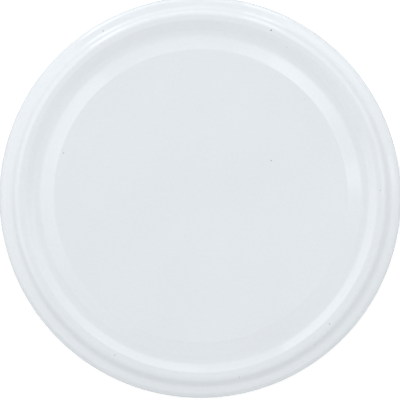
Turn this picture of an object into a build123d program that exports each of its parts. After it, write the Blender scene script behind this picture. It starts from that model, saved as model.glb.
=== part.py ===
from build123d import *

import os

# Flat lid of a two-piece canning closure, for a regular jar mouth of nominal 70 mm; a
# separate screw band holds it down. The disc is one pressing in enamelled tinplate: a flat
# panel, a slope down into a sunk groove, a rise to a raised bead that holds the sealing
# ring, the bead's outer flank, and a sloping rim whose edge is turned down.
# Millimetres, +Z up. The origin is at the centre of the circle that the rim's edge stands
# on, and the panel faces up.

# Sheet and main sizes
sheet = 0.19
lid_diameter = 68.3
height = 3.0

# Rings of the top, each width measured along the radius, from the rim's face inwards
rim_width = 2.0
flank_width = 0.9
bead_width = 1.32
rise_width = 1.45
groove_width = 1.14
cone_width = 2.42

# How far each corner of the outer face lies below the panel
groove_drop = 0.77
bead_drop = 0.05
foot_drop = 1.15
rim_drop = 1.76

# Bends, on the enamelled outer face
panel_bend = 0.6
groove_bend = 1.9
rise_bend = 0.85
bead_bend = 0.5
shoulder_bend = 1.3
foot_bend = 1.3
rim_bend = 1.2

# Sealing ring, flowed into the channel under the bead
seal_thickness = 0.8
seal_groove_cover = 0.35
seal_lip_width = 0.5
seal_flank_width = 0.7

# Places that follow from the sizes
lid_radius = lid_diameter / 2
foot_radius = lid_radius - rim_width
bead_outer = foot_radius - flank_width
bead_inner = bead_outer - bead_width
groove_outer = bead_inner - rise_width
groove_inner = groove_outer - groove_width
panel_radius = groove_inner - cone_width
groove_z = height - groove_drop
bead_z = height - bead_drop
foot_z = height - foot_drop
rim_z = height - rim_drop


def disc_section():
    """Section of the sheet, from the axis to the cut edge of the turned-down rim."""
    outer_corners = [
        (0, height),
        (panel_radius, height),
        (groove_inner, groove_z),
        (groove_outer, groove_z),
        (bead_inner, bead_z),
        (bead_outer, bead_z),
        (foot_radius, foot_z),
        (lid_radius, rim_z),
        (lid_radius, 0),
    ]
    bends = [
        panel_bend,
        groove_bend,
        rise_bend,
        bead_bend,
        shoulder_bend,
        foot_bend,
        rim_bend,
    ]
    outer_face = Wire(FilletPolyline(*outer_corners, radius=bends).edges())
    return Face(outer_face.offset_2d(sheet, side=Side.RIGHT, closed=True))


def seal_section(disc):
    """Section of the sealing ring: it fills the channel up to the sheet's underside."""
    land_z = bead_z - sheet - seal_thickness
    lip = Vector(groove_outer - seal_groove_cover, groove_z - sheet)
    land_inner = Vector(lip.X + seal_lip_width, land_z)
    land_outer = Vector(foot_radius - seal_flank_width, land_z)
    in_foot = Vector(foot_radius, foot_z - sheet / 4)
    lower_side = [
        TangentArc(land_inner, lip, tangent=(-1, 0)),
        Line(land_inner, land_outer),
        TangentArc(land_outer, in_foot, tangent=(1, 0)),
    ]
    closing = Polyline(in_foot, (foot_radius, height), (lip.X, height), lip)
    blank = make_face(lower_side + closing.edges())
    return (blank - disc).faces().sort_by(Axis.Y)[0]


def spin(section):
    """Body turned about the lid's axis from a section drawn as radius and height."""
    return revolve(Plane.XZ * section, Axis.Z)


section = disc_section()
disc = spin(section)
seal = spin(seal_section(section))

os.makedirs("parts", exist_ok=True)
export_step(disc, "parts/lid_disc.step")
export_step(seal, "parts/sealing_ring.step")
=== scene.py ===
from math import atan2, ceil, copysign, cos, degrees, pi, radians, sin, tan

import bmesh
import bpy
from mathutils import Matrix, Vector


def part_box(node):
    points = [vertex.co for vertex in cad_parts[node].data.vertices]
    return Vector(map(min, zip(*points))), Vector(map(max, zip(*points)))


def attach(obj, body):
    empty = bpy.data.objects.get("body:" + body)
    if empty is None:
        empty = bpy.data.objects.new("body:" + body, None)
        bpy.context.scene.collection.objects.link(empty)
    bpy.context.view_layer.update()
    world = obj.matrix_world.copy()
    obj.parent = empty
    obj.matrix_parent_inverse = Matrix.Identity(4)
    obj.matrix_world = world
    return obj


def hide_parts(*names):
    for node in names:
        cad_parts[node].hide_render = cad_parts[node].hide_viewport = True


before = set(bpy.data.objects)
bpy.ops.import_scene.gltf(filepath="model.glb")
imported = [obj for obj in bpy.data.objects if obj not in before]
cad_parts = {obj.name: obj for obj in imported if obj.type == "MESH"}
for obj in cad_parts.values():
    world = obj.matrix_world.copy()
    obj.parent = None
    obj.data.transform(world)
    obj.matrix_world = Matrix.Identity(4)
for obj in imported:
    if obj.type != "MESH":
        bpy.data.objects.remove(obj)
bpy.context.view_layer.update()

# Sizes of the lid in millimetres, as pressed
MM = 0.001
SHEET = 0.19
RIM_WIDTH = 2.0
FLANK_WIDTH = 0.9
BEAD_WIDTH = 1.32
RISE_WIDTH = 1.45
GROOVE_WIDTH = 1.14
CONE_WIDTH = 2.42
GROOVE_DROP = 0.77
BEAD_DROP = 0.05
FOOT_DROP = 1.15
RIM_DROP = 1.76
PANEL_BEND = 0.6
GROOVE_BEND = 1.9
RISE_BEND = 0.85
BEAD_BEND = 0.5
SHOULDER_BEND = 1.3
FOOT_BEND = 1.3
RIM_BEND = 1.2
SEAL_THICKNESS = 0.8
SEAL_GROOVE_COVER = 0.35
SEAL_LIP_WIDTH = 0.5
SEAL_FLANK_WIDTH = 0.7

# Places that follow, with the height and the radius read from the frame
disc_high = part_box("lid_disc")[1]
HEIGHT = round(disc_high.z / MM, 2)
LID_RADIUS = round(disc_high.x / MM, 2)
FOOT_RADIUS = LID_RADIUS - RIM_WIDTH
BEAD_OUTER = FOOT_RADIUS - FLANK_WIDTH
BEAD_INNER = BEAD_OUTER - BEAD_WIDTH
GROOVE_OUTER = BEAD_INNER - RISE_WIDTH
GROOVE_INNER = GROOVE_OUTER - GROOVE_WIDTH
PANEL_RADIUS = GROOVE_INNER - CONE_WIDTH
GROOVE_Z = HEIGHT - GROOVE_DROP
BEAD_Z = HEIGHT - BEAD_DROP
FOOT_Z = HEIGHT - FOOT_DROP
RIM_Z = HEIGHT - RIM_DROP
LAND_Z = BEAD_Z - SHEET - SEAL_THICKNESS

# Mesh fineness: steps round the axis, degrees to a step of a bend that is seen and of one
# inside the sheet, and in millimetres how near a bend its guard point lies and how close
# two points are merged
TURN_STEPS = 320
BEND_STEP = 7.0
INSIDE_STEP = 12.0
GUARD = 0.06
MERGE = 0.001


def place(radius, height):
    """Point of a section, drawn in the plane of X and Z."""
    return Vector((radius, 0, height))


def start_section(bm, point):
    return bmesh.ops.create_vert(bm, co=point)["vert"][0]


def draw_to(bm, last, *points):
    """Extrude the section's last point through the given places."""
    for point in points:
        last = bmesh.ops.extrude_vert_indiv(bm, verts=[last])["verts"][0]
        last.co = point
    return last


def draw_flat(bm, last, end):
    """A straight run with a guard point by each end, so that it shades flat."""
    run = end - last.co
    guard = run.normalized() * min(GUARD, run.length / 3)
    return draw_to(bm, last, last.co + guard, end - guard, end)


def draw_arc(bm, last, centre, turn, step=BEND_STEP):
    """Spin the last point about a centre. A positive turn bends up from outward."""
    spun = bmesh.ops.spin(
        bm,
        geom=[last],
        cent=centre,
        axis=(0, -1, 0),
        angle=radians(turn),
        steps=max(3, ceil(abs(turn) / step)),
        use_duplicate=False,
    )
    return next(item for item in spun["geom_last"] if isinstance(item, bmesh.types.BMVert))


def draw_bent(bm, last, corners, bends):
    """Draw a line through corners, each rounded to its bend radius, up to the last one."""
    for here, corner, after, radius in zip(corners, corners[1:], corners[2:], bends):
        coming = (corner - here).normalized()
        going = (after - corner).normalized()
        turn = atan2(coming.x * going.z - coming.z * going.x, coming.dot(going))
        side = Vector((-coming.z, 0, coming.x)) * copysign(radius, turn)
        bend_start = corner - coming * radius * tan(abs(turn) / 2)
        last = draw_flat(bm, last, bend_start)
        last = draw_arc(bm, last, bend_start + side, degrees(turn))
    return draw_flat(bm, last, corners[-1])


def turn_about_axis(bm):
    """Spin the section all the way round and close its seam and its pole."""
    bmesh.ops.spin(
        bm,
        geom=bm.verts[:] + bm.edges[:],
        cent=(0, 0, 0),
        axis=(0, 0, 1),
        angle=2 * pi,
        steps=TURN_STEPS,
        use_merge=True,
    )
    bmesh.ops.remove_doubles(bm, verts=bm.verts, dist=MERGE)
    bmesh.ops.recalc_face_normals(bm, faces=bm.faces)


def finish_piece(bm, name, materials):
    """Scale a finished mesh from millimetres, shade it smooth and make it an object."""
    bmesh.ops.scale(bm, vec=(MM, MM, MM), verts=bm.verts)
    for face in bm.faces:
        face.smooth = True
    mesh = bpy.data.meshes.new(name)
    bm.to_mesh(mesh)
    bm.free()
    for material in materials:
        mesh.materials.append(material)
    piece = bpy.data.objects.new(name, mesh)
    bpy.context.scene.collection.objects.link(piece)
    return piece


def add_node(tree, kind, inputs=None, **settings):
    """Add a node with its settings. An input is a value, or a socket to link from."""
    node = tree.nodes.new(kind)
    for name, value in settings.items():
        setattr(node, name, value)
    for name, value in (inputs or {}).items():
        if isinstance(value, bpy.types.NodeSocket):
            tree.links.new(value, node.inputs[name])
        else:
            node.inputs[name].default_value = value
    return node


def linear(hex_colour):
    """An sRGB hex colour as linear red, green, blue and alpha."""
    channels = [int(hex_colour[i : i + 2], 16) / 255 for i in (1, 3, 5)]
    return [c / 12.92 if c < 0.04045 else ((c + 0.055) / 1.055) ** 2.4 for c in channels] + [1]


def new_material(name):
    material = bpy.data.materials.new(name)
    material.use_nodes = True
    tree = material.node_tree
    shader = tree.nodes["Principled BSDF"]
    coordinates = add_node(tree, "ShaderNodeTexCoord")
    return material, tree, shader, coordinates.outputs["Object"]


# Dirt caught in the enamel: how far each speck lies from the lid's axis to the right and
# to the back, its width, all in millimetres, and how dark it shows, from 0 to 1
SPECKS = [
    (-23.3, 7.2, 0.28, 0.55),
    (11.9, 6.0, 0.28, 0.6),
    (11.9, 28.2, 0.30, 0.85),
    (30.4, 1.0, 0.27, 0.35),
    (21.8, -21.7, 0.30, 0.45),
    (-16.6, 28.1, 0.25, 0.6),
    (14.6, 25.3, 0.25, 0.2),
    (17.6, 16.5, 0.25, 0.15),
    (-14.6, -27.0, 0.38, 0.2),
    (-21.1, -16.1, 0.28, 0.15),
    (6.5, -30.7, 0.25, 0.3),
    (19.3, -25.2, 0.23, 0.3),
]


# How far a speck's outline wanders, in millimetres. Every place is shifted by half of this
# on average, and each speck's middle is shifted as far
SPECK_WANDER = 0.2


def speck_mask(tree, place_on_lid):
    """Darkness of the specks at each place, seen from above, with ragged outlines."""
    wander = SPECK_WANDER * MM
    ragged = add_node(
        tree, "ShaderNodeTexNoise", {"Vector": place_on_lid, "Scale": 1 / wander}
    )
    moved = add_node(
        tree,
        "ShaderNodeVectorMath",
        {0: ragged.outputs["Color"], 1: (wander, wander, 0), 2: place_on_lid},
        operation="MULTIPLY_ADD",
    )
    level = add_node(
        tree, "ShaderNodeVectorMath", {0: moved.outputs[0], 1: (1, 1, 0)}, operation="MULTIPLY"
    )
    mask = 0.0
    for across, back, width, dark in SPECKS:
        middle = (across * MM + wander / 2, back * MM + wander / 2, 0)
        away = add_node(
            tree,
            "ShaderNodeVectorMath",
            {0: level.outputs[0], 1: middle},
            operation="DISTANCE",
        )
        spot = add_node(
            tree,
            "ShaderNodeMapRange",
            {
                "Value": away.outputs["Value"],
                "From Min": width / 4 * MM,
                "From Max": width / 2 * MM,
                "To Min": dark,
                "To Max": 0.0,
            },
        )
        deepest = add_node(
            tree, "ShaderNodeMath", {0: spot.outputs[0], 1: mask}, operation="MAXIMUM"
        )
        mask = deepest.outputs[0]
    return mask


def stoved_enamel():
    """White enamel roller-coated on tinplate and stoved: hard and glossy, with a faint
    orange peel in its reflections, a white that drifts a little, and a few dirt specks."""
    material, tree, shader, place_on_lid = new_material("stoved_white_enamel")
    drift = add_node(
        tree,
        "ShaderNodeTexNoise",
        {"Vector": place_on_lid, "Scale": 1 / (14 * MM), "Detail": 2.0},
    )
    mottle = add_node(
        tree,
        "ShaderNodeTexNoise",
        {"Vector": place_on_lid, "Scale": 1 / (0.5 * MM), "Detail": 2.0},
    )
    both = add_node(
        tree, "ShaderNodeMath", {0: drift.outputs["Fac"], 1: mottle.outputs["Fac"]}
    )
    shade = add_node(
        tree,
        "ShaderNodeMapRange",
        {"Value": both.outputs[0], "From Min": 0.6, "From Max": 1.4},
    )
    white = add_node(
        tree,
        "ShaderNodeMix",
        {0: shade.outputs[0], 6: linear("#E6EBEF"), 7: linear("#EAEFF3")},
        data_type="RGBA",
    )
    specked = add_node(
        tree,
        "ShaderNodeMix",
        {0: speck_mask(tree, place_on_lid), 6: white.outputs[2], 7: linear("#3A3B3A")},
        data_type="RGBA",
    )
    gloss = add_node(
        tree,
        "ShaderNodeMapRange",
        {"Value": drift.outputs["Fac"], "To Min": 0.06, "To Max": 0.09},
    )
    peel = add_node(
        tree,
        "ShaderNodeTexNoise",
        {"Vector": place_on_lid, "Scale": 1 / (1.1 * MM), "Detail": 1.0},
    )
    dents = add_node(
        tree,
        "ShaderNodeBump",
        {"Height": peel.outputs["Fac"], "Distance": 0.003 * MM},
    )
    tree.links.new(specked.outputs[2], shader.inputs["Base Color"])
    tree.links.new(gloss.outputs[0], shader.inputs["Roughness"])
    tree.links.new(dents.outputs[0], shader.inputs["Normal"])
    shader.inputs["IOR"].default_value = 1.52
    return material


def inside_lacquer():
    """White lacquer on the food side, thinner and less glossy than the outside, with the
    faint ribs that the coating roller leaves along the sheet's run."""
    material, tree, shader, place_on_lid = new_material("food_side_white_lacquer")
    run = add_node(
        tree,
        "ShaderNodeMapping",
        {"Vector": place_on_lid, "Scale": (1.0, 0.05, 1.0)},
    )
    ribs = add_node(
        tree,
        "ShaderNodeTexNoise",
        {"Vector": run.outputs[0], "Scale": 1 / (0.5 * MM), "Detail": 2.0},
    )
    white = add_node(
        tree,
        "ShaderNodeMix",
        {0: ribs.outputs["Fac"], 6: linear("#D3D2CB"), 7: linear("#DDDCD5")},
        data_type="RGBA",
    )
    gloss = add_node(
        tree,
        "ShaderNodeMapRange",
        {"Value": ribs.outputs["Fac"], "To Min": 0.26, "To Max": 0.38},
    )
    relief = add_node(
        tree,
        "ShaderNodeBump",
        {"Height": ribs.outputs["Fac"], "Distance": 0.003 * MM},
    )
    tree.links.new(white.outputs[2], shader.inputs["Base Color"])
    tree.links.new(gloss.outputs[0], shader.inputs["Roughness"])
    tree.links.new(relief.outputs[0], shader.inputs["Normal"])
    return material


def cut_tinplate():
    """Sheared edge of the tinplate, bare steel with the die's fine score marks across it."""
    material, tree, shader, place_on_lid = new_material("sheared_tinplate_edge")
    scores = add_node(
        tree,
        "ShaderNodeTexNoise",
        {"Vector": place_on_lid, "Scale": 1 / (0.1 * MM), "Detail": 2.0},
    )
    steel = add_node(
        tree,
        "ShaderNodeMix",
        {0: scores.outputs["Fac"], 6: linear("#9EA0A2"), 7: linear("#C2C4C6")},
        data_type="RGBA",
    )
    relief = add_node(
        tree,
        "ShaderNodeBump",
        {"Height": scores.outputs["Fac"], "Distance": 0.01 * MM},
    )
    tree.links.new(steel.outputs[2], shader.inputs["Base Color"])
    tree.links.new(relief.outputs[0], shader.inputs["Normal"])
    shader.inputs["Metallic"].default_value = 1.0
    shader.inputs["Roughness"].default_value = 0.35
    return material


def cured_plastisol():
    """Plastisol, a soft off-white PVC compound laid by a nozzle while the lid spins, then
    cured: satin, with faint rings along its lay and a slightly cloudy colour. At a scale
    of pi / 10, a ring of the wave texture repeats every unit of length."""
    material, tree, shader, place_on_lid = new_material("cured_plastisol")
    cloud = add_node(
        tree,
        "ShaderNodeTexNoise",
        {"Vector": place_on_lid, "Scale": 1 / (3 * MM), "Detail": 3.0},
    )
    white = add_node(
        tree,
        "ShaderNodeMix",
        {0: cloud.outputs["Fac"], 6: linear("#CDC8B9"), 7: linear("#D9D5C8")},
        data_type="RGBA",
    )
    satin = add_node(
        tree,
        "ShaderNodeMapRange",
        {"Value": cloud.outputs["Fac"], "To Min": 0.36, "To Max": 0.56},
    )
    rings = add_node(
        tree,
        "ShaderNodeTexWave",
        {
            "Vector": place_on_lid,
            "Scale": pi / 10 / (0.6 * MM),
            "Distortion": 1.5,
            "Detail": 2.0,
            "Detail Scale": 0.3,
        },
        wave_type="RINGS",
        rings_direction="Z",
    )
    relief = add_node(
        tree,
        "ShaderNodeBump",
        {"Height": rings.outputs["Fac"], "Distance": 0.012 * MM},
    )
    tree.links.new(white.outputs[2], shader.inputs["Base Color"])
    tree.links.new(satin.outputs[0], shader.inputs["Roughness"])
    tree.links.new(relief.outputs[0], shader.inputs["Normal"])
    return material


def lid_disc():
    """The pressed sheet, spun from its outer line and given its wall inwards."""
    corners = [
        place(0, HEIGHT),
        place(PANEL_RADIUS, HEIGHT),
        place(GROOVE_INNER, GROOVE_Z),
        place(GROOVE_OUTER, GROOVE_Z),
        place(BEAD_INNER, BEAD_Z),
        place(BEAD_OUTER, BEAD_Z),
        place(FOOT_RADIUS, FOOT_Z),
        place(LID_RADIUS, RIM_Z),
        place(LID_RADIUS, 0),
    ]
    bends = [PANEL_BEND, GROOVE_BEND, RISE_BEND, BEAD_BEND, SHOULDER_BEND, FOOT_BEND, RIM_BEND]
    bm = bmesh.new()
    last = start_section(bm, corners[0])
    draw_bent(bm, last, corners, bends)
    turn_about_axis(bm)
    disc = finish_piece(bm, "pressed_disc", [stoved_enamel(), inside_lacquer(), cut_tinplate()])
    wall = disc.modifiers.new("sheet", "SOLIDIFY")
    wall.thickness = SHEET * MM
    wall.offset = -1
    wall.use_even_offset = True
    wall.material_offset = 1
    wall.material_offset_rim = 2
    return disc


def sealing_ring():
    """The compound in the channel: a level land, a thin lip inside and a run out outside.
    Its upper side lies inside the sheet."""
    in_sheet = SHEET / 2
    lip = place(GROOVE_OUTER - SEAL_GROOVE_COVER, GROOVE_Z - SHEET)
    land_inner = place(lip.x + SEAL_LIP_WIDTH, LAND_Z)
    land_outer = place(FOOT_RADIUS - SEAL_FLANK_WIDTH, LAND_Z)
    run_out = LAND_Z - (FOOT_Z - SHEET / 4)
    lip_rise = lip.z - LAND_Z
    lip_radius = (SEAL_LIP_WIDTH**2 + lip_rise**2) / (2 * lip_rise)
    run_radius = (SEAL_FLANK_WIDTH**2 + run_out**2) / (2 * run_out)
    lip_turn = degrees(atan2(SEAL_LIP_WIDTH, lip_radius - lip_rise))
    run_turn = degrees(atan2(SEAL_FLANK_WIDTH, run_radius - run_out))
    flank_slope = atan2(FOOT_DROP - BEAD_DROP, FLANK_WIDTH)
    shoulder_start = BEAD_OUTER - SHOULDER_BEND * tan(flank_slope / 2)
    shoulder_centre = place(shoulder_start, BEAD_Z - SHOULDER_BEND)
    to_flank = place(sin(flank_slope), cos(flank_slope)) * (SHOULDER_BEND - in_sheet)
    bm = bmesh.new()
    first = start_section(bm, lip)
    last = draw_arc(bm, first, land_inner + place(0, lip_radius), lip_turn)
    last = draw_flat(bm, last, land_outer)
    last = draw_arc(bm, last, land_outer - place(0, run_radius), -run_turn)
    last = draw_to(bm, last, shoulder_centre + to_flank)
    last = draw_arc(bm, last, shoulder_centre, degrees(flank_slope), INSIDE_STEP)
    last = draw_to(
        bm,
        last,
        place(BEAD_INNER, BEAD_Z - in_sheet),
        place(GROOVE_OUTER, GROOVE_Z - in_sheet),
        place(lip.x, GROOVE_Z - in_sheet),
    )
    bmesh.ops.contextual_create(bm, geom=[last, first])
    turn_about_axis(bm)
    return finish_piece(bm, "flowed_sealing_ring", [cured_plastisol()])


# Half the floor's width in millimetres, and the light of its own that keeps it white
FLOOR_HALF = 1500.0
PAPER_GLOW = 0.2


def paper_floor():
    """Matt white paper that the lid lies on."""
    bm = bmesh.new()
    bmesh.ops.create_grid(bm, x_segments=1, y_segments=1, size=FLOOR_HALF)
    material, _, shader, _ = new_material("matt_white_paper")
    shader.inputs["Base Color"].default_value = linear("#FCFCFC")
    shader.inputs["Roughness"].default_value = 0.9
    shader.inputs["Emission Color"].default_value = linear("#FFFFFF")
    shader.inputs["Emission Strength"].default_value = PAPER_GLOW
    floor = finish_piece(bm, "paper_floor", [material])
    floor.visible_glossy = False
    return floor


# Upright softboxes in a ring round the lid. Each is given by the compass angle of its
# middle, clockwise from +X, by half the angle it spans, by the steepest and the flattest
# slope from straight up that it covers, all in degrees, and by its radiance. The ring's
# distance from the axis is in metres
RING_DISTANCE = 0.8
SOFTBOXES = {
    "left_softbox": (195, 42, 22, 40, 1.0),
    "left_middle_softbox": (200, 46, 40, 60, 1.2),
    "left_low_softbox": (195, 42, 60, 88, 0.5),
    "right_back_softbox": (325, 28, 22, 42, 1.0),
    "back_middle_softbox": (308, 35, 40, 60, 0.9),
    "back_right_low_softbox": (309, 36, 60, 88, 0.4),
    "back_low_softbox": (261, 12, 60, 88, 1.2),
    "right_softbox": (14, 31, 22, 50, 0.95),
    "right_low_softbox": (14, 31, 50, 88, 0.35),
    "front_softbox": (99, 54, 22, 50, 0.95),
    "front_low_softbox": (99, 54, 50, 88, 0.1),
    "high_softbox": (22, 45, 10, 22, 0.5),
    "back_left_strip": (243, 6, 58, 89, 2.8),
    "back_right_strip": (290, 6, 58, 89, 2.0),
}
WORLD_STRENGTH = 0.33


def add_softbox(name, compass, half_span, steep, flat, radiance):
    """An upright rectangular light that faces the lid's axis."""
    high = RING_DISTANCE / tan(radians(steep))
    low = RING_DISTANCE / tan(radians(flat))
    data = bpy.data.lights.new(name, "AREA")
    data.shape = "RECTANGLE"
    data.size = 2 * RING_DISTANCE * tan(radians(half_span))
    data.size_y = high - low
    data.energy = radiance * pi * data.size * data.size_y
    light = bpy.data.objects.new(name, data)
    bpy.context.scene.collection.objects.link(light)
    turn = radians(-compass)
    away = Vector((cos(turn), sin(turn), 0))
    light.location = away * RING_DISTANCE + Vector((0, 0, (high + low) / 2))
    light.rotation_euler = away.to_track_quat("Z", "Y").to_euler()


def pale_room():
    """Even pale light from all round."""
    world = bpy.data.worlds.new("pale_room")
    world.use_nodes = True
    back = world.node_tree.nodes["Background"]
    back.inputs["Color"].default_value = linear("#FFFFFF")
    back.inputs["Strength"].default_value = WORLD_STRENGTH
    bpy.context.scene.world = world


# Camera, nearly straight above, leaning a little towards -Y and less towards -X. Leans are
# in degrees, the sensor in millimetres, and the rest in metres
CAMERA_DISTANCE = 0.7
CAMERA_LEAN = 3.3
CAMERA_SIDE_LEAN = 1.9
VIEW_WIDTH = 0.068
LOOK_AT = Vector((-0.0001, -0.00058, 0.0006))
SENSOR = 36.0


def add_camera():
    data = bpy.data.cameras.new("camera")
    data.sensor_width = SENSOR
    data.lens = SENSOR * CAMERA_DISTANCE / VIEW_WIDTH
    camera = bpy.data.objects.new("camera", data)
    bpy.context.scene.collection.objects.link(camera)
    camera.rotation_euler = (radians(CAMERA_LEAN), -radians(CAMERA_SIDE_LEAN), 0)
    away = camera.rotation_euler.to_matrix() @ Vector((0, 0, 1))
    camera.location = LOOK_AT + away * CAMERA_DISTANCE
    bpy.context.scene.camera = camera
    bpy.context.scene.view_settings.view_transform = "Standard"


disc = lid_disc()
ring = sealing_ring()
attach(disc, "root")
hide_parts("lid_disc")
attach(ring, "root")
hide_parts("sealing_ring")
paper_floor()
for name, values in SOFTBOXES.items():
    add_softbox(name, *values)
pale_room()
add_camera()
